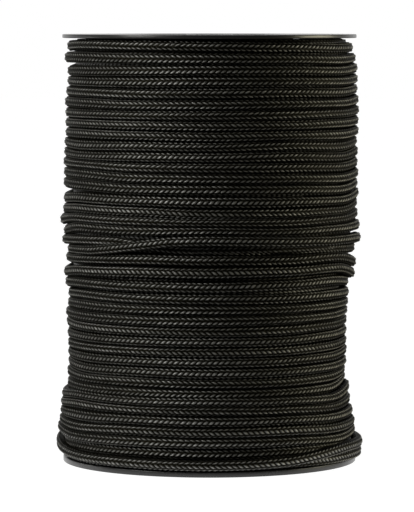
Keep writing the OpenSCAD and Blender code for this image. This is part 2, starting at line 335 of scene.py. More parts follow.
def slack_route(angle):
    """Radius and height of the slack turn: a Catmull-Rom curve through its table of rows and
    layers, with the last turn's wander fading over the first step."""
    radius, height, _ = turn_places()
    place = (angle - TURNS_END - SLACK_FROM) / SLACK_STEP
    slot = np.floor(place).astype(int)
    t = (place - slot)[:, None]
    p0, p1, p2, p3 = (SLACK[np.clip(slot + j, 0, len(SLACK) - 1)] for j in (-1, 0, 1, 2))
    row, layer = (0.5 * (2 * p1 + (p2 - p0) * t + (2 * p0 - 5 * p1 + 4 * p2 - p3) * t ** 2
                         + (3 * p1 - p0 - 3 * p2 + p3) * t ** 3)).T
    leaving = 1 - eased((angle - SLACK_START) / SLACK_STEP)
    up, out = (stray * leaving for stray in wander(np.array([SLACK_START])))
    return (radius[-1] + layer * (CORD_D + LAY_GAP) + out,
            height[-1] + row * (CORD_D + LOWER_SLACK) + up)


def outer_route(angle):
    """Radius, height and lean anywhere along the outer layer."""
    r, z, x = turn_route(np.minimum(angle, SLACK_START))
    slack = angle >= SLACK_START
    slack_r, slack_z = slack_route(np.maximum(angle, SLACK_START))
    return np.where(slack, slack_r, r), np.where(slack, slack_z, z), np.where(slack, 0, x)


def under_route(angle):
    """The layer below the outer one: the same even turns and outward reach, half a turn's
    height higher and one layer in, swelling out where the crossing turns part."""
    r, z, x = even_turns(angle)
    z = np.clip(z + CORD_D / 2, None, SPOOL_H - FLANGE_T - CORD_D / 2 - CORD_CLEAR)
    parted = swell((angle - PARTED_AT) / PARTED_HALF)
    return r + np.maximum(reach(angle), 0) - UNDER_DEPTH + PARTED_RISE * parted, z, x


def route_line(route, start, end, step=0.5):
    """Points, distances run and angles along a route, a step of degrees apart, with the
    outward direction at each."""
    angle = np.arange(start, end + step / 2, step)
    r, z, x = route(angle)
    f = np.radians(angle + 90)
    outward = np.stack([np.cos(f), np.sin(f), np.zeros_like(f)], 1)
    points = outward * r[:, None]
    points[:, 0] += x
    points[:, 2] = z
    run = np.concatenate([[0], np.cumsum(np.linalg.norm(np.diff(points, axis=0), axis=1))])
    return {"angle": angle, "points": points, "outward": outward, "run": run}


def along(line, run, key):
    """A line's points, directions or angles at distances along it, by straight
    interpolation."""
    flat, values = run.ravel(), line[key]
    if values.ndim == 1:
        return np.interp(flat, line["run"], values).reshape(run.shape)
    each = [np.interp(flat, line["run"], values[:, c]) for c in range(3)]
    return np.stack(each, 1).reshape(run.shape + (3,))


# -------- The braid ---------------------------------------------------------------------------
def nearest(x):
    """Distance from x to the nearest whole number."""
    return np.abs(x - np.round(x))


def braid_depth(across, leans, pick, depth, lift):
    """How far the braid's surface lies below its highest point, by the share of a wale's width
    and the way that wale leans, 0 or 1. Each wale's own yarns are lens-shaped ridges half a
    pick off their neighbours'; they rise as a half sine to the wale's middle, and the crossing
    yarns dip under them."""
    own = nearest(pick - 0.25 - 0.5 * leans)
    other = nearest(pick - 0.75 + 0.5 * leans + np.where(leans == 0, 2, -2) * across)
    rise = np.sin(np.pi * across)
    over = lift * rise - depth * (2 * own) ** 2
    under = -lift * rise - depth * (2 * other) ** 2
    return np.maximum(over, under) - lift


def cord_grid(line, first, last, grain, radius, tall, twist, look):
    """Rings of a braided tube. Ring j's points lie at distance (j + offset) along the line,
    where the offset runs one pick forward over one wale and one pick back over the next, so
    the grid follows the yarns. Each point stands off the line by a squarish oval's radius less
    the braid's depth, which is uneven from yarn to yarn. Gives the points, where they lie in
    wales round and picks along the tube, and how squarely each faces away from the axis, 1 for
    the outermost and -1 for the innermost."""
    wale = np.arange(WALES * grain["per_wale"]) / grain["per_wale"]
    column = np.floor(wale)
    leans = np.mod(column, 2)
    across = wale - column
    zigzag = np.where(leans == 0, across, 1 - across)
    pick = np.arange(first, last + 1)[:, None] / grain["per_pick"] + np.zeros(len(wale))
    run_end = line["run"][-1]
    run = np.clip((pick + zigzag) * PICK, 0, run_end)
    depth = braid_depth(across, leans, pick, look.braid_depth / MM, look.braid_lift / MM)
    rng = np.random.default_rng(SEED)
    uneven = rng.normal(1, UNEVEN, (int(last / grain["per_pick"]) + 4, WALES))
    yarn = np.floor(pick + 0.25 + 0.5 * leans).astype(int)
    depth = depth * uneven[np.clip(yarn, 0, len(uneven) - 1), column.astype(int)]
    centre, outward = along(line, run, "points"), along(line, run, "outward")
    ahead = along(line, np.clip(run + 0.5, 0, run_end), "points")
    behind = along(line, np.clip(run - 0.5, 0, run_end), "points")
    up = unit(np.cross(outward, unit(ahead - behind)))
    turned = 2 * np.pi * wale / WALES + twist(run)
    above, below = tall(along(line, run, "angle"))
    half = np.where(np.sin(turned) > 0, above, below)
    shrink = 1 + depth / radius
    wide, high = (np.sign(v) * np.abs(v) ** SQUARE for v in (np.cos(turned), np.sin(turned)))
    points = (centre + outward * (radius * wide * shrink)[..., None]
              + up * (half * high * shrink)[..., None])
    return points, wale, pick[:, 0] - pick[0, 0], np.cos(turned)


def tube_faces(rows, cols):
    """Quads between rings of corners, and a fan over each end to a corner of its own, which
    come after the rings."""
    j, i = np.meshgrid(np.arange(rows - 1), np.arange(cols), indexing="ij")
    n = (i + 1) % cols
    quads = np.stack([j * cols + i, j * cols + n, (j + 1) * cols + n, (j + 1) * cols + i], -1)
    i, n, head = i[0], n[0], (rows - 1) * cols
    fans = np.concatenate([np.stack([n, i, np.full(cols, rows * cols)], 1),
                           np.stack([head + i, head + n, np.full(cols, rows * cols + 1)], 1)])
    return quads.reshape(-1, 4), fans


def closed_tube(name, points, wale, pick, facing, material):
    """A closed tube of cord from rings of points, with a UV map that counts wales round it and
    picks along it, how each point faces as an attribute, and normals from central differences
    over the grid."""
    rows, cols = points.shape[:2]
    ends = np.stack([points[0].mean(0), points[-1].mean(0)])
    verts = np.concatenate([points.reshape(-1, 3), ends]) * MM
    quads, fans = tube_faces(rows, cols)
    j, i = np.meshgrid(np.arange(rows - 1), np.arange(cols), indexing="ij")
    u = np.append(wale, WALES)
    corners_u = np.stack([u[i], u[i + 1], u[i + 1], u[i]], -1)
    corners_v = np.stack([pick[j], pick[j], pick[j + 1], pick[j + 1]], -1)
    uv = np.stack([corners_u, corners_v], -1).reshape(-1, 2)
    uv = np.concatenate([uv, np.zeros((fans.size, 2))])
    around = np.roll(points, -1, 1) - np.roll(points, 1, 1)
    normals = unit(np.cross(around, np.gradient(points, axis=0)))
    tips = unit(np.stack([ends[0] - points[4].mean(0), ends[1] - points[-5].mean(0)]))
    obj = put_mesh(name, verts, quads, fans, uv, np.concatenate([normals.reshape(-1, 3), tips]))
    layer = obj.data.attributes.new("facing", "FLOAT", "POINT")
    layer.data.foreach_set("value", np.append(facing.ravel(), [1, 1]).astype(np.float32))
    return dress(obj, material)


def put_mesh(name, verts, quads, tris=np.zeros((0, 3), int), uv=None, normals=None):
    """A mesh object at the origin from whole arrays of corners, faces, UVs and normals."""
    mesh = bpy.data.meshes.new(name)
    mesh.vertices.add(len(verts))
    mesh.vertices.foreach_set("co", np.ascontiguousarray(verts, np.float32).ravel())
    corners = np.concatenate([quads.ravel(), tris.ravel()]).astype(np.int32)
    starts = np.concatenate([np.arange(len(quads)) * 4, quads.size + np.arange(len(tris)) * 3])
    mesh.loops.add(len(corners))
    mesh.loops.foreach_set("vertex_index", corners)
    mesh.polygons.add(len(starts))
    mesh.polygons.foreach_set("loop_start", starts.astype(np.int32))
    if uv is not None:
        layer = mesh.uv_layers.new(name="braid")
        layer.data.foreach_set("uv", np.ascontiguousarray(uv, np.float32).ravel())
    mesh.update(calc_edges=True)
    mesh.validate()
    mesh.polygons.foreach_set("use_smooth", np.ones(len(mesh.polygons), bool))
    if normals is not None:
        mesh.normals_split_custom_set_from_vertices(np.ascontiguousarray(normals, np.float32))
    obj = bpy.data.objects.new(name, mesh)
    bpy.context.scene.collection.objects.link(obj)
    return obj


def dress(obj, material):
    """Puts a piece on the spool's body and gives it its slot and material."""
    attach(obj, BODY)
    obj.data.materials.clear()
    obj.data.materials.append(material)
    return obj


def slow_twist(run):
    """How far the cord is turned about its own line, in radians: slow sines along its
    length."""
    return sum(size * np.sin(run / length + phase) for size, length, phase in TWISTS)


def room(route):
    """A function of the angle that gives the cord's half height above and below its line: half
    the way to the next turn where that lies at the same radius, and the cord's own half height
    elsewhere."""
    angle = np.arange(0, SLACK_END + 1, 2.0)
    r, z, _ = route(angle)
    free = CORD_D / 2 + BULGE / 2
    nowhere = -99

    def half(shift):
        near_r = np.interp(angle + shift, angle, r, left=nowhere, right=nowhere)
        near_z = np.interp(angle + shift, angle, z)
        beside = swell((near_r - r) / PRESSED_RANGE)
        pressed = np.clip(np.abs(near_z - z) / 2 + PRESSED_IN, *PRESSED_HALF)
        return beside * pressed + (1 - beside) * free

    above, below = half(-360), half(360)
    return lambda at: (np.interp(at, angle, above), np.interp(at, angle, below))


def rings_between(line, grain, start, end):
    """First and last ring number between two angles, whole picks, less the zigzag's own reach
    at the line's end."""
    runs = np.interp([start, end], line["angle"], line["run"])
    first, last = (int(round(run / PICK)) for run in runs)
    last = min(last, int(line["run"][-1] / PICK) - 1)
    return first * grain["per_pick"], last * grain["per_pick"]


def wind(names, packed, line, route, start, end, grain, material, look):
    """Winds a bank's turns as a few tubes of about equal length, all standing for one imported
    node."""
    angles = np.linspace(start, end, len(names) + 1)
    angles[1:-1] = np.round(angles[1:-1] / 360) * 360
    tall = room(route)
    for name, low, high in zip(names, angles[:-1], angles[1:]):
        first, last = rings_between(line, grain, low, high)
        grid = cord_grid(line, first, last, grain, CORD_D / 2 + BULGE, tall, slow_twist, look)
        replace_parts(closed_tube(name, *grid, material), packed)


# -------- Turned and moulded shapes -----------------------------------------------------------
def rounded_outline(corners, steps=6):
    """A closed outline through corners (r, z, rounding): each corner becomes an arc that
    touches both its sides."""
    points = np.array([c[:2] for c in corners], float)
    out = []
    for k, (_, _, rounding) in enumerate(corners):
        here, before, after = points[k], points[k - 1], points[(k + 1) % len(points)]
        back, on = unit(before - here), unit(after - here)
        half = np.arccos(np.clip(back @ on, -1, 1)) / 2
        if rounding <= 0 or half > 1.56:
            out.append(here[None])
            continue
        touch = rounding / np.tan(half)
        mid = here + unit(back + on) * rounding / np.sin(half)
        a, b = here + back * touch - mid, here + on * touch - mid
        t = np.linspace(0, 1, steps + 1)[:, None]
        sweep = np.pi - 2 * half
        out.append(mid + (np.sin((1 - t) * sweep) * a + np.sin(t * sweep) * b) / np.sin(sweep))
    return np.concatenate(out)


def turned_ring(outline, segments):
    """Corners and quads of a closed outline carried once round the axis."""
    f = np.linspace(0, 2 * np.pi, segments, endpoint=False)[:, None]
    r, z = outline.T
    verts = np.stack([np.cos(f) * r, np.sin(f) * r, 0 * f + z], -1).reshape(-1, 3)
    n = len(outline)
    j, i = np.meshgrid(np.arange(segments), np.arange(n), indexing="ij")
    jn, im = (j + 1) % segments, (i + 1) % n
    quads = np.stack([j * n + i, j * n + im, jn * n + im, jn * n + i], -1).reshape(-1, 4)
    return verts, quads


def prism(outline, low, high):
    """A closed prism over a flat outline."""
    verts = [np.column_stack([outline, np.full(len(outline), z)]) for z in (low, high)]
    return solid_between("prism", np.concatenate(verts), len(outline))


def solid_between(name, verts, n):
    """A closed solid between two matching outlines of n corners."""
    i = np.arange(n)
    sides = np.stack([i, (i + 1) % n, (i + 1) % n + n, i + n], 1).tolist()
    caps = [list(range(n))[::-1], list(range(n, 2 * n))]
    mesh = bpy.data.meshes.new(name)
    mesh.from_pydata((verts * MM).tolist(), [], caps + sides)
    face_outwards(mesh)
    obj = bpy.data.objects.new(name, mesh)
    bpy.context.scene.collection.objects.link(obj)
    return obj


def face_outwards(mesh):
    """Recalculates a closed mesh's normals so that they point outwards."""
    work = bmesh.new()
    work.from_mesh(mesh)
    bmesh.ops.recalc_face_normals(work, faces=work.faces)
    work.to_mesh(mesh)
    work.free()


def combine(obj, tools):
    """Adds or cuts each tool by its operation, puts the result into the object's mesh and
    takes the tools away."""
    for tool, operation in tools:
        cut = obj.modifiers.new("part", "BOOLEAN")
        cut.object, cut.operation, cut.solver = tool, operation, "EXACT"
    bpy.context.view_layer.update()
    graph = bpy.context.evaluated_depsgraph_get()
    mesh = bpy.data.meshes.new_from_object(obj.evaluated_get(graph))
    obj.modifiers.clear()
    obj.data = mesh
    for tool, _ in tools:
        bpy.data.objects.remove(tool)


def turn_over(mesh):
    """Mirrors a mesh from the spool's foot to its top, with its faces still outwards."""
    co = np.zeros(len(mesh.vertices) * 3, np.float32)
    mesh.vertices.foreach_get("co", co)
    co[2::3] = SPOOL_H * MM - co[2::3]
    mesh.vertices.foreach_set("co", co)
    mesh.flip_normals()


def smooth_by_angle(mesh, degrees):
    """Smooth shading, with edges sharper than an angle kept sharp."""
    mesh.polygons.foreach_set("use_smooth", np.ones(len(mesh.polygons), bool))
    mesh.set_sharp_from_angle(angle=np.radians(degrees))


# -------- Shader nodes ------------------------------------------------------------------------
def fill(tree, made, links):
    """Links or fills a node's inputs, by input name or number."""
    for key, value in links.items():
        socket = made.inputs[key]
        if isinstance(value, bpy.types.NodeSocket):
            tree.links.new(value, socket)
        else:
            socket.default_value = value
    return made


def node(tree, kind, links=None, **values):
    """A shader node with its properties set and its inputs linked or filled."""
    made = tree.nodes.new("ShaderNode" + kind)
    for key, value in values.items():
        setattr(made, key, value)
    return fill(tree, made, links or {})


def math(tree, operation, *values):
    """The result of one Math node."""
    return node(tree, "Math", dict(enumerate(values)), operation=operation).outputs[0]


def blend(tree, factor, low, high):
    """A colour that runs from low to high as the factor goes from 0 to 1."""
    ends = {"Factor": factor, "A": [*low, 1.0], "B": [*high, 1.0]}
    return node(tree, "Mix", ends, data_type="RGBA").outputs["Result"]


def ramp(tree, value, given, wanted, kind="LINEAR"):
    """A value carried from the given range to the wanted one, and flat past both ends."""
    links = dict(enumerate((value, *given, *wanted)))
    return node(tree, "MapRange", links, interpolation_type=kind).outputs[0]


def noise(tree, where, scale, detail, roughness=0.5):
    """Noise at a place, from 0 to 1."""
    values = {"Vector": where, "Scale": scale, "Detail": detail, "Roughness": roughness}
    return node(tree, "TexNoise", values).outputs[0]


def bumped(tree, height, distance, strength):
    """Normals raised by a height, the distance being in metres."""
    values = {"Height": height, "Distance": distance, "Strength": strength}
    return node(tree, "Bump", values).outputs[0]


def ray_is(tree, *kinds):
    """1 for rays of any of these kinds, and 0 for the rest."""
    path = node(tree, "LightPath")
    found = [path.outputs[f"Is {kind} Ray"] for kind in kinds]
    return functools.reduce(lambda a, b: math(tree, "MAXIMUM", a, b), found)


def new_group(name, inputs, outputs):
    """An empty shader node group, with the ends of its own nodes: an input with no default is
    a vector, and the rest are floats."""
    group = bpy.data.node_groups.new(name, "ShaderNodeTree")
    for label, default in inputs.items():
        kind = "NodeSocketVector" if default is None else "NodeSocketFloat"
        socket = group.interface.new_socket(name=label, in_out="INPUT", socket_type=kind)
        if default is not None:
            socket.default_value = default
    for label in outputs:
        group.interface.new_socket(name=label, in_out="OUTPUT", socket_type="NodeSocketFloat")
    return group, group.nodes.new("NodeGroupInput").outputs, group.nodes.new("NodeGroupOutput")


def yarn_group():
    """Where a point lies on its yarn: how far across it, a number of its own for each pick,
    the yarn's filament lines, which run along it, and its crown, which is 1 at the middle of
    the yarn and of the wale and falls to 0 at their edges."""
    group, given, out = new_group("Yarn", {"Wales and Picks": None, "Filaments": 11.0},
                                  ["Across", "Own Number", "Lines", "Crown"])
    wales, picks, _ = node(group, "SeparateXYZ", {0: given["Wales and Picks"]}).outputs
    wale = math(group, "FLOOR", wales)
    leans = math(group, "MODULO", wale, 2.0)
    shifted = math(group, "ADD", picks, math(group, "MULTIPLY_ADD", leans, -0.5, 0.25))
    across = math(group, "SUBTRACT", math(group, "FRACT", shifted), 0.5)
    place = node(group, "CombineXYZ", {0: wale, 1: math(group, "FLOOR", shifted)}).outputs[0]
    own = node(group, "TexWhiteNoise", {0: place}, noise_dimensions="3D").outputs["Value"]
    stretched = node(group, "CombineXYZ", {
        0: math(group, "MULTIPLY", wales, 0.7),
        1: math(group, "MULTIPLY", shifted, given["Filaments"]), 2: wale}).outputs[0]
    lines = noise(group, stretched, 1.0, 2.0, 0.6)
    ridge = math(group, "SUBTRACT", 1.0, math(
        group, "POWER", math(group, "MULTIPLY", across, 2.0), 2.0))
    arch = math(group, "SINE", math(group, "MULTIPLY", math(group, "FRACT", wales), np.pi))
    crown = math(group, "MULTIPLY", math(group, "POWER", ridge, 3.0),
                 math(group, "POWER", arch, 3.0))
    fill(group, out, {"Across": across, "Own Number": own, "Lines": lines, "Crown": crown})
    return group


def speck_group():
    """Fine dust and tiny scratches on a moulded or board surface, from the piece's own
    coordinates: noise at two sizes, and the peaks of noise squeezed into thin streaks."""
    group, given, out = new_group(
        "Specks", {"Position": None, "Grain Size": 900.0, "Patch Size": 22.0},
        ["Grain", "Patches", "Scratches"])
    where = given["Position"]
    squeezed = node(group, "VectorMath", {0: where, 1: (3.0, 41.0, 7.0)}, operation="MULTIPLY")
    streaks = noise(group, squeezed.outputs[0], 46.0, 2.0)
    fill(group, out, {
        "Grain": noise(group, where, given["Grain Size"], 3.0, 0.6),
        "Patches": noise(group, where, given["Patch Size"], 5.0, 0.62),
        "Scratches": ramp(group, streaks, (0.62, 0.72), (0.0, 1.0))})
    return group


def grouped(tree, name, build, links):
    """The outputs of a group, which is built once, placed in a tree with its own values."""
    group = bpy.data.node_groups.get(name) or build()
    return node(tree, "Group", links, node_tree=group).outputs


def specks_in(tree, values):
    """The specks group's outputs at a piece's own coordinates."""
    where = node(tree, "TexCoord").outputs["Object"]
    return grouped(tree, "Specks", speck_group, {"Position": where, **values})


# -------- Materials ---------------------------------------------------------------------------
def kept(name, build, *values):
    """The material of this name, built the first time that it is asked for."""
    return bpy.data.materials.get(name) or build(name, *values)


def new_material(name):
    """A material with a Principled BSDF linked to its output."""
    material = bpy.data.materials.new(name)
    material.use_nodes = True
    tree = material.node_tree
    return material, tree, tree.nodes["Principled BSDF"]


def cord_material(name, look, shade):
    """Braided filament yarn: each pick a little lighter or darker, with painted shade that darkens
    its colour and takes its gloss away in the grooves and on the yarns down between two turns,
    a lighter colour as a painted highlight and a gloss on the yarns' crowns, and fine filament
    lines. The bump is a dome across each yarn."""
    # the colours are multiplied by shade, which is below 1 for a darker copy that paints the layer
    # beneath in shade
    material, tree, bsdf = new_material(name)
    uv = node(tree, "UVMap", uv_map="braid").outputs[0]
    yarn = grouped(tree, "Yarn", yarn_group, {"Wales and Picks": uv})
    uneven = math(tree, "MULTIPLY_ADD", yarn["Lines"], 0.6,
                  math(tree, "MULTIPLY_ADD", yarn["Own Number"], 0.5, 0.35))
    facing = node(tree, "Attribute", attribute_name="facing", attribute_type="GEOMETRY")
    # painted shade between turns: where a yarn faces sideways towards the next turn, this factor
    # falls to the share set for that shade
    clear = ramp(tree, facing.outputs["Fac"], (0.2, 0.8), (look.painted_crevice_shade, 1.0), "SMOOTHSTEP")
    # real tone from pick to pick, times the crown mask (painted highlight on crowns, painted shade in
    # grooves), times the painted shade between turns
    proud = math(tree, "MULTIPLY", math(tree, "MULTIPLY", uneven, yarn["Crown"]), clear)
    rough = (look.roughness - 0.06, look.roughness + 0.08)
    dome = math(tree, "SQRT", math(tree, "SUBTRACT", 1.0, math(
        tree, "POWER", math(tree, "MULTIPLY", yarn["Across"], 1.96), 2.0)))
    height = math(tree, "MULTIPLY_ADD", yarn["Lines"], 0.22, dome)
    fill(tree, bsdf, {
        # colour runs from the painted shade colour to the lighter crown colour by that mask: painted
        # light and shade
        "Base Color": blend(tree, proud, [c * shade for c in look.painted_shade_colour],
                            [c * shade for c in look.colour]),
        "Roughness": ramp(tree, yarn["Own Number"], (0.0, 1.0), rough),
        "Specular IOR Level": look.gloss,
        "Specular Tint": (*look.gloss_tint, 1.0),
        "Coat Weight": math(tree, "MULTIPLY", proud, look.crown_gloss),
        "Coat Roughness": look.crown_roughness,
        "Coat IOR": 3.5,
        "Normal": bumped(tree, height, 0.0003, 1.0)})
    return material


def plastic_material(name, look):
    """Black moulded plastic: satin, with faint patches, fine grain and handling scratches."""
    material, tree, bsdf = new_material(name)
    specks = specks_in(tree, {})
    smudged = math(tree, "MULTIPLY_ADD", specks["Patches"], 0.22, look.roughness - 0.1)
    fill(tree, bsdf, {
        "Base Color": blend(tree, specks["Patches"], [c * 0.7 for c in look.colour],
                            [c * 1.3 for c in look.colour]),
        "Roughness": math(tree, "ADD", smudged,
                          math(tree, "MULTIPLY", specks["Scratches"], 0.12)),
        "Specular IOR Level": 0.7,
        "Normal": bumped(tree, specks["Grain"], 0.00004, 0.5)})
    return material


def board_material(name):
    """Kraft board: brown fibres, paler flecks and a coarse, slightly lumpy surface."""
    material, tree, bsdf = new_material(name)
    specks = specks_in(tree, {"Grain Size": 420.0, "Patch Size": 60.0})
    fill(tree, bsdf, {
        "Base Color": blend(tree, specks["Grain"], (0.2, 0.13, 0.075), (0.52, 0.38, 0.24)),
        "Roughness": 0.85,
        "Normal": bumped(tree, specks["Patches"], 0.0003, 0.6)})
    return material


def seal_material(name):
    """Melted cord end: glossy, lumpy and darker than the yarn."""
    material, tree, bsdf = new_material(name)
    specks = specks_in(tree, {"Grain Size": 1400.0, "Patch Size": 500.0})
    fill(tree, bsdf, {
        "Base Color": blend(tree, specks["Patches"], (0.006, 0.006, 0.006),
                            (0.03, 0.027, 0.024)),
        "Roughness": 0.22,
        "Normal": bumped(tree, specks["Patches"], 0.0003, 0.7)})
    return material


def room_side(tree, place, fade, dim):
    """1 for the camera and towards the white backdrop at +Y, falling to the dim front of the
    room in reflections."""
    y = node(tree, "SeparateXYZ", {0: place}).outputs[1]
    side = ramp(tree, y, fade, (dim, 1.0), "SMOOTHSTEP")
    return math(tree, "MAXIMUM", side, ray_is(tree, "Camera"))


def floor_material(name, colour):
    """A pale matt surface that the camera, gloss and glass see as near white, with a share
    left for shadows."""
    material = bpy.data.materials.new(name)
    material.use_nodes = True
    tree = material.node_tree
    tree.nodes.clear()
    where = node(tree, "TexCoord").outputs["Object"]
    away = node(tree, "VectorMath", {0: where}, operation="LENGTH").outputs["Value"]
    beside = ramp(tree, away, NEAR_FADE, (NEAR_FLOOR, 0.0), "SMOOTHSTEP")
    shown = math(tree, "MAXIMUM", room_side(tree, where, FLOOR_FADE, DIM_FLOOR), beside)
    glow = node(tree, "Emission", {"Color": (1, 1, 1, 1), "Strength": shown})
    matt = node(tree, "BsdfDiffuse", {"Color": colour})
    both = node(tree, "AddShader", {0: glow.outputs[0], 1: matt.outputs[0]})
    seen = ray_is(tree, "Camera", "Glossy", "Transmission")
    mix = node(tree, "MixShader", {0: seen, 1: matt.outputs[0], 2: both.outputs[0]})
    node(tree, "OutputMaterial", {"Surface": mix.outputs[0]})
    return material


# -------- Settings ----------------------------------------------------------------------------
LENGTH = {"min": 0, "subtype": "DISTANCE", "unit": "LENGTH"}
POWER = {"min": 0, "subtype": "POWER", "unit": "POWER"}
SHARE = {"min": 0, "max": 1, "subtype": "FACTOR"}
COLOUR = {"min": 0, "max": 1, "subtype": "COLOR", "size": 3}


class CordSettings(PropertyGroup):
    """The cord's braid and finish."""
    braid_depth: FloatProperty(
        name="Braid Depth", description="Depth of the grooves between picks",
        default=0.0008, max=0.002, **LENGTH)
    braid_lift: FloatProperty(
        name="Yarn Lift", description="How far a yarn rises over the ones it crosses",
        default=0.0005, max=0.001, **LENGTH)
    # the crown colour is lighter than the yarn's own black: a painted highlight on the crowns
    colour: FloatVectorProperty(
        name="Colour", description="Colour of the yarn where it stands proud",
        default=(0.1, 0.0975, 0.076), **COLOUR)
    # painted shade: the colour of the yarn in the grooves and on the yarns down between two turns
    painted_shade_colour: FloatVectorProperty(
        name="Painted Shade Colour", description="Colour of the yarn down in the grooves",
        default=(0.0015, 0.0013, 0.0004), **COLOUR)
    roughness: FloatProperty(
        name="Roughness", description="Roughness of the yarn's filaments",
        default=0.5, **SHARE)
    gloss: FloatProperty(
        name="Gloss", description="How strongly the yarn reflects, 0.5 being plain plastic",
        default=0.1, **SHARE)
    gloss_tint: FloatVectorProperty(
        name="Gloss Tint", description="Colour of what the yarn reflects",
        default=(1.0, 0.93, 0.6), **COLOUR)
    crown_gloss: FloatProperty(
        name="Crown Gloss", description="Gloss of the yarn where it stands proud",
        default=1.0, **SHARE)
    crown_roughness: FloatProperty(
        name="Crown Roughness", description="Roughness of that gloss",
        default=0.52, **SHARE)
    # how much of the yarn's colour and gloss stays under the painted shade between two turns
    painted_crevice_shade: FloatProperty(
        name="Painted Crevice Shade", description="Share of light kept on yarns down between two turns",
        default=0.15, **SHARE)


class FlangeSettings(PropertyGroup):
    """The moulded flanges' finish and fineness."""
    colour: FloatVectorProperty(
        name="Colour", description="Colour of the plastic",
        default=(0.022, 0.022, 0.022), **COLOUR)
    roughness: FloatProperty(
        name="Roughness", description="Roughness of the plastic",
        default=0.28, **SHARE)
    segments: IntProperty(
        name="Segments", description="Facets round a flange", default=288, min=48, max=720)


class StageSettings(PropertyGroup):
    """The studio round the spool."""
    floor_colour: FloatVectorProperty(
        name="Floor Colour", description="Colour of the floor",
        default=(0.25, 0.25, 0.25, 1), min=0, max=1, subtype="COLOR", size=4)
    surround: FloatProperty(
        name="Surround", description="Brightness of the studio round the spool",
        default=0.1, min=0, max=2)
    left_lamp: FloatProperty(
        name="Left Lamp", description="Power of the left softbox, in watts",
        default=10.2, **POWER)
    right_lamp: FloatProperty(
        name="Right Lamp", description="Power of the right softbox, in watts",
        default=5.3, **POWER)
    side_lamp: FloatProperty(
        name="Side Lamp", description="Power of the low softbox at the far left, in watts",
        default=0.9, **POWER)
    left_colour: FloatVectorProperty(
        name="Left Colour", description="Colour of the left lamps",
        default=(1.0, 0.99, 0.95), **COLOUR)
    right_colour: FloatVectorProperty(
        name="Right Colour", description="Colour of the right lamp",
        default=(1.0, 0.94, 0.7), **COLOUR)


# -------- Operators ---------------------------------------------------------------------------
class StageOperator(Operator):
    """Sets up the floor, the surround, the lamps and the camera."""
    bl_idname = "cord_spool.stage"
    bl_label = "Stage"

    def execute(self, context):
        look = context.scene.spool_stage
        self.floor(look)
        self.surround(context.scene, look)
        self.softbox("left", look.left_lamp, look.left_colour)
        self.softbox("right", look.right_lamp, look.right_colour)
        self.softbox("side", look.side_lamp, look.left_colour)
        self.camera(context.scene)
        return {"FINISHED"}

    @staticmethod
    def floor(look, half=9.0, drop=0.0003):
        """A flat square just below the spool's foot."""
        corners = [(-half, -half), (half, -half), (half, half), (-half, half)]
        verts = np.column_stack([corners, np.full(4, -drop)])
        floor = put_mesh("floor", verts, np.array([[0, 1, 2, 3]]))
        floor.data.materials.append(floor_material("Floor", look.floor_colour))

    @staticmethod
    def surround(scene, look):
        """A world that lights dimly, and that the camera, gloss and glass see as near white."""
        scene.world = bpy.data.worlds.new("Studio")
        scene.world.use_nodes = True
        tree = scene.world.node_tree
        tree.nodes.clear()
        seen = ray_is(tree, "Camera", "Glossy", "Transmission")
        level = ramp(tree, seen, (0.0, 1.0), (look.surround, 1.0))
        where = node(tree, "TexCoord").outputs["Generated"]
        shown = math(tree, "MULTIPLY", level, room_side(tree, where, SURROUND_FADE, DIM_FRONT))
        back = node(tree, "Background", {"Color": (1, 1, 1, 1), "Strength": shown})
        node(tree, "OutputWorld", {"Surface": back.outputs[0]})

    @staticmethod
    def softbox(name, power, colour):
        """A rectangular lamp that faces the spool's middle."""
        azimuth, elevation, width, height = LAMPS[name]
        lamp = bpy.data.lights.new(name + "_softbox", "AREA")
        lamp.shape = "RECTANGLE"
        lamp.size, lamp.size_y = width, height
        lamp.energy = power
        lamp.color = colour
        a, e = np.radians(azimuth), np.radians(elevation)
        out = LAMP_DISTANCE * np.cos(e)
        obj = bpy.data.objects.new(lamp.name, lamp)
        obj.location = (out * np.sin(a), -out * np.cos(a),
                        SPOOL_H * MM / 2 + LAMP_DISTANCE * np.sin(e))
        obj.rotation_euler = (np.pi / 2 - e, 0, a)
        bpy.context.scene.collection.objects.link(obj)

    @staticmethod
    def camera(scene):
        """A long lens a little above the spool's middle, tipped down by under four degrees."""
        data = bpy.data.cameras.new("camera")
        data.sensor_width = 36
        data.lens = CAMERA_LENS
        data.clip_end = 60
        obj = bpy.data.objects.new("camera", data)
        obj.location = CAMERA_AT
        obj.rotation_euler = (np.radians(90 - CAMERA_TILT), 0, 0)
        scene.collection.objects.link(obj)
        scene.camera = obj


class TurnsOperator(Operator):
    """Winds the turns that show: the five banks and the slack last turn."""
    bl_idname = "cord_spool.turns"
    bl_label = "Visible Turns"

    def execute(self, context):
        look = context.scene.spool_cord
        line = route_line(outer_route, 0, SLACK_END)
        material = kept("Braided cord", cord_material, look, 1.0)
        first = BANK_FIRST * 360
        for pieces, packed, start, end in (
            ("upper_turns_a upper_turns_b upper_turns_c", "rope_upper_turns", 0, first[1]),
            ("crossing_turns_a crossing_turns_b", "rope_crossing_turns", first[1], first[2]),
            ("middle_turns_a middle_turns_b", "rope_middle_turns", first[2], first[3]),
            ("lower_turns_a lower_turns_b", "rope_lower_turns", first[3], SLACK_START),
            ("slack_turn", "rope_slack_turn", SLACK_START, SLACK_END),
        ):
            wind(pieces.split(), packed, line, outer_route, start, end, FINE, material, look)
        return {"FINISHED"}


class UnderLayerOperator(Operator):
    """Winds the layer beneath the turns that show, which is seen through the gaps between
    them."""
    bl_idname = "cord_spool.under_layer"
    bl_label = "Layer Beneath"

    def execute(self, context):
        look = context.scene.spool_cord
        line = route_line(under_route, 0, TURNS_END)
        # a darker copy of the cord material, its colours times 0.8: painted shade on the layer
        # beneath
        material = kept("Braided cord beneath", cord_material, look, 0.8)
        pieces = [f"under_layer_{letter}" for letter in "abcdef"]
        wind(pieces, "rope_inner_layers", line, under_route, 0, TURNS_END, COARSE, material, look)
        return {"FINISHED"}


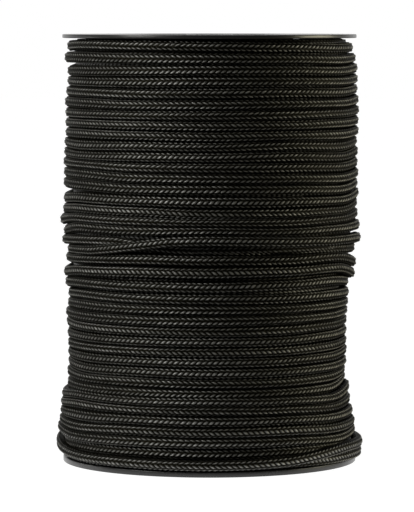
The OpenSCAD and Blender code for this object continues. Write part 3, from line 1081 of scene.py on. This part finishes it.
class EndsOperator(Operator):
    """Makes the cord's inner end, its sealed tip and the sealed tip of the tail."""
    bl_idname = "cord_spool.ends"
    bl_label = "Cord Ends"

    def execute(self, context):
        look = context.scene.spool_cord
        radius = CORD_D / 2
        low, high = self.box("rope_inner_end")
        mid = (low + high) / 2
        y = np.arange(low[1], high[1], 0.25)
        points = np.stack([np.full_like(y, mid[0]), y, np.full_like(y, mid[2])], 1)
        line = {"points": points, "outward": np.tile([1.0, 0, 0], (len(y), 1)),
                "run": y - y[0], "angle": 0 * y}
        rings = (int(line["run"][-1] / PICK) - 1) * FINE["per_pick"]
        grid = cord_grid(line, 0, rings, FINE, radius, lambda at: (radius + 0 * at,) * 2,
                         lambda run: 0 * run, look)
        end = closed_tube("inner_end", *grid, kept("Braided cord", cord_material, look, 1.0))
        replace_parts(end, "rope_inner_end")
        centre = sum(self.box("rope_start_seal")) / 2
        centre[1] = low[1]
        self.tip("start_seal", "rope_start_seal", centre, np.array([0.0, -1.0, 0.0]), radius)
        tail = route_line(outer_route, SLACK_END - 2, SLACK_END)["points"]
        self.tip("tail_seal", "rope_tail_seal", tail[-1], unit(tail[-1] - tail[-2]), radius - 0.2)
        return {"FINISHED"}

    @staticmethod
    def box(packed):
        """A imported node's lowest and highest corners, in millimetres."""
        return [np.array(v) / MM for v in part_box(packed)]

    @staticmethod
    def tip(name, packed, centre, forward, radius, collar=1.2, dome=2.3, share=0.4):
        """A melted tip: a quarter-round dome on a short collar, which takes a share of the
        rings, lumpy by sines round and along it."""
        side = unit(np.cross(forward, (0, 0, 1.0)))
        up = np.cross(side, forward)
        t = np.linspace(0, 1, 15)
        bend = (t - share) / (1 - share) * np.pi / 2
        ahead = np.where(t < share, t / share * collar - collar, np.sin(bend) * dome)
        wide = np.where(t < share, 1.02, np.cos(bend) ** 0.7) * radius
        f = np.linspace(0, 2 * np.pi, 28, endpoint=False)
        lump = (1 + 0.05 * np.sin(3 * f + 1) * np.sin(5 * t)[:, None]
                + 0.04 * np.sin(5 * f) * t[:, None])
        wide = (wide[:, None] * lump)[:-1, :, None]
        points = (centre + ahead[:-1, None, None] * forward
                  + wide * (np.cos(f)[:, None] * side + np.sin(f)[:, None] * up))
        ends = [centre - collar * forward, centre + dome * forward]
        verts = np.concatenate([points.reshape(-1, 3), ends]) * MM
        quads, fans = tube_faces(*points.shape[:2])
        obj = put_mesh(name, verts, quads[:, [0, 3, 2, 1]], fans[:, [1, 0, 2]])
        dress(obj, kept("Melted end", seal_material))
        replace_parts(obj, packed)


class FlangesOperator(Operator):
    """Turns the two moulded flanges with their hubs, ribs and start holes."""
    bl_idname = "cord_spool.flanges"
    bl_label = "Flanges"

    def execute(self, context):
        look = context.scene.spool_flanges
        for packed in ("bottom_flange", "top_flange"):
            obj = self.moulding(packed + "_moulding", look.segments, packed == "top_flange")
            dress(obj, kept("Moulded plastic", plastic_material, look))
            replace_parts(obj, packed)
        return {"FINISHED"}

    @staticmethod
    def moulding(name, segments, flip):
        """One flange, outer face down: a rounded outline carried round the axis, with six ribs
        added and the start hole cut, then turned over for the top one. The lower one's edge is
        a raised lip. Two close points on the plate's underside keep its shading flat."""
        spigot = BARREL_D / 2 - BARREL_WALL - SPIGOT_PLAY
        dish, boss, rim = spigot - SPIGOT_WALL, BORE_R + BOSS_WALL, FLANGE_D / 2
        edge = FLANGE_T if flip else FLANGE_T + LIP
        web_top, spigot_top = DISH_DEPTH + FLANGE_T, FLANGE_T + SPIGOT_L
        outline = rounded_outline([
            (BORE_R, 0, 0.5), (boss, 0, 0.5), (boss, DISH_DEPTH, 0.9), (dish, DISH_DEPTH, 0.9),
            (dish, 0, 0.6), (rim - 4.5, 0, 0), (rim - 4.3, 0, 0), (rim, 0, 0.5),
            (rim, edge, 0.5), (rim - 1.4, edge, 0.3), (rim - 1.8, FLANGE_T, 0),
            (spigot, FLANGE_T, 0.5), (spigot, spigot_top, 0.5), (dish, spigot_top, 0.5),
            (dish, web_top, 0.9), (boss, web_top, 0.9), (boss, BOSS_L, 0.5),
            (BORE_R, BOSS_L, 0.6)])
        verts, quads = turned_ring(outline, segments)
        obj = put_mesh(name, verts * MM, quads[:, ::-1])
        ribs = [FlangesOperator.rib(k * 360 / RIBS, boss, dish) for k in range(RIBS)]
        f = np.linspace(0, 2 * np.pi, 48, endpoint=False)
        hole = START_HOLE_R * np.stack([np.cos(f), np.sin(f)], 1) + (0, START_HOLE_AT)
        combine(obj, [(rib, "UNION") for rib in ribs]
                + [(prism(hole, -1, FLANGE_T + 1), "DIFFERENCE")])
        if flip:
            turn_over(obj.data)
        smooth_by_angle(obj.data, 40)
        return obj

    @staticmethod
    def rib(angle, boss, dish, edge=0.55, bite=0.6):
        """A rib from the boss to the spigot, with its outer edge rounded over. It bites a
        little into the boss, the spigot and the web."""
        f = np.linspace(0, np.pi, 9)
        foot = DISH_DEPTH + bite
        profile = np.concatenate([
            np.stack([edge * np.cos(f), RIB_SINK + edge - edge * np.sin(f)], 1),
            [(-RIB_T / 2, foot), (RIB_T / 2, foot)]])
        r = np.repeat([boss - bite, dish + bite], len(profile))
        across, z = np.tile(profile, (2, 1)).T
        a = np.radians(angle)
        verts = np.stack([r * np.cos(a) - across * np.sin(a),
                          r * np.sin(a) + across * np.cos(a), z], 1)
        return solid_between("rib", verts, len(profile))


class BarrelOperator(Operator):
    """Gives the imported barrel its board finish."""
    bl_idname = "cord_spool.barrel"
    bl_label = "Barrel"

    def execute(self, context):
        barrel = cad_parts["barrel"]
        barrel.data.materials.clear()
        barrel.data.materials.append(board_material("Wound board"))
        return {"FINISHED"}


class SpoolPanel(Panel):
    """Lists the spool's settings and the operators that make its pieces."""
    bl_idname = "VIEW3D_PT_cord_spool"
    bl_label = "Cord Spool"
    bl_space_type = "VIEW_3D"
    bl_region_type = "UI"
    bl_category = "Cord Spool"

    def draw(self, context):
        for name, group in SETTINGS.items():
            box = self.layout.box()
            for key in group.__annotations__:
                box.prop(getattr(context.scene, name), key)
        for made in OPERATORS:
            self.layout.operator(made.bl_idname)


SETTINGS = {
    "spool_cord": CordSettings,
    "spool_flanges": FlangeSettings,
    "spool_stage": StageSettings,
}
OPERATORS = (StageOperator, FlangesOperator, BarrelOperator, UnderLayerOperator, TurnsOperator,
             EndsOperator)
CLASSES = (*SETTINGS.values(), *OPERATORS, SpoolPanel)


def register():
    for made in CLASSES:
        bpy.utils.register_class(made)
    for name, group in SETTINGS.items():
        setattr(bpy.types.Scene, name, PointerProperty(type=group))


def unregister():
    for name in SETTINGS:
        delattr(bpy.types.Scene, name)
    for made in reversed(CLASSES):
        bpy.utils.unregister_class(made)


def main():
    register()
    bpy.context.scene.view_settings.view_transform = "Standard"
    for made in OPERATORS:
        group, call = made.bl_idname.split(".")
        getattr(getattr(bpy.ops, group), call)()


if __name__ == "__main__":
    main()
